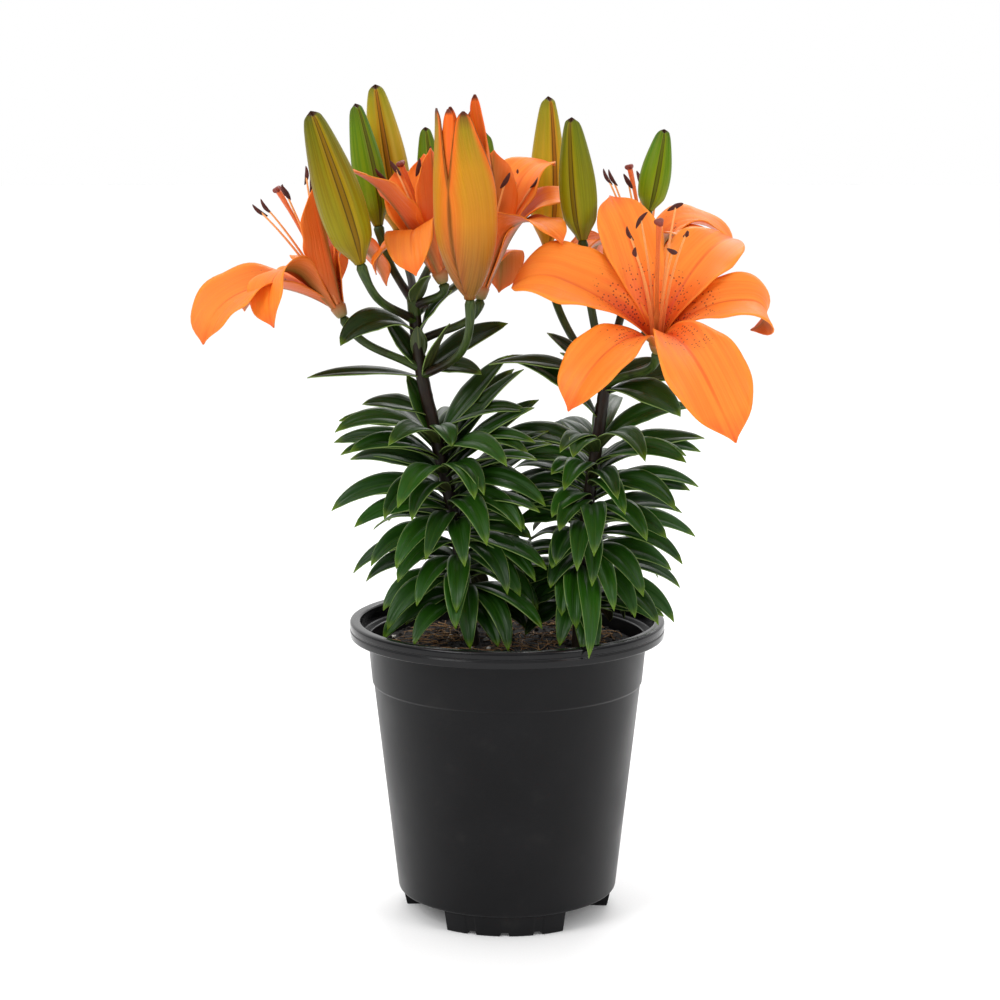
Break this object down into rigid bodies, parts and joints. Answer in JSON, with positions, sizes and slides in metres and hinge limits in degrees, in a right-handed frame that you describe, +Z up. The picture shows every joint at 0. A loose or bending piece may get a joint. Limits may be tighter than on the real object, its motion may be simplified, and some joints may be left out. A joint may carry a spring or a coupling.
{
  "type": "potted asiatic lily",
  "caption": "Potted asiatic lily with open orange blooms, one opening bud and green buds on leafy stems, growing from bulbs in soil in a round black nursery pot.",
  "frame": {"origin": "on the pot's axis, at the flat pad under the middle of the pot, which stands on the floor with the feet", "axes": "+Z up along the pot's axis; -Y towards the viewer of the picture, the plant's front; +X to the viewer's right"},
  "size_m": [0.2935, 0.2244, 0.4323],
  "materials": {
    "black_plastic": "satin black moulded polypropylene with a shiny rim",
    "peat": "matt dark moist potting mix with fibres and white grains",
    "bulb_scale": "pale fleshy bulb scales",
    "leaf_green": "glossy dark green leaves with paler edges, on purple brown stems",
    "petal_orange": "velvety orange tepals with dark freckles, dark brown anthers",
    "bud_amber": "satin amber and olive tepals with orange seams",
    "bud_green": "satin yellow green closed buds with darker seams"
  },
  "bodies": {
    "root": {"pot": "black_plastic", "soil": "peat", "bulb_left": "bulb_scale", "leafy_stem_left": "leaf_green", "bulb_right": "bulb_scale", "leafy_stem_right": "leaf_green", "bloom_a": "petal_orange", "bloom_b": "petal_orange", "bloom_c": "petal_orange", "bloom_d": "petal_orange", "bloom_e": "petal_orange", "opening_bud": "bud_amber", "bud_1": "bud_green", "bud_2": "bud_green", "bud_3": "bud_green", "bud_4": "bud_green", "bud_6": "bud_green", "bud_7": "bud_green", "bud_8": "bud_green", "bud_9": "bud_green"}
  },
  "joints": []
}
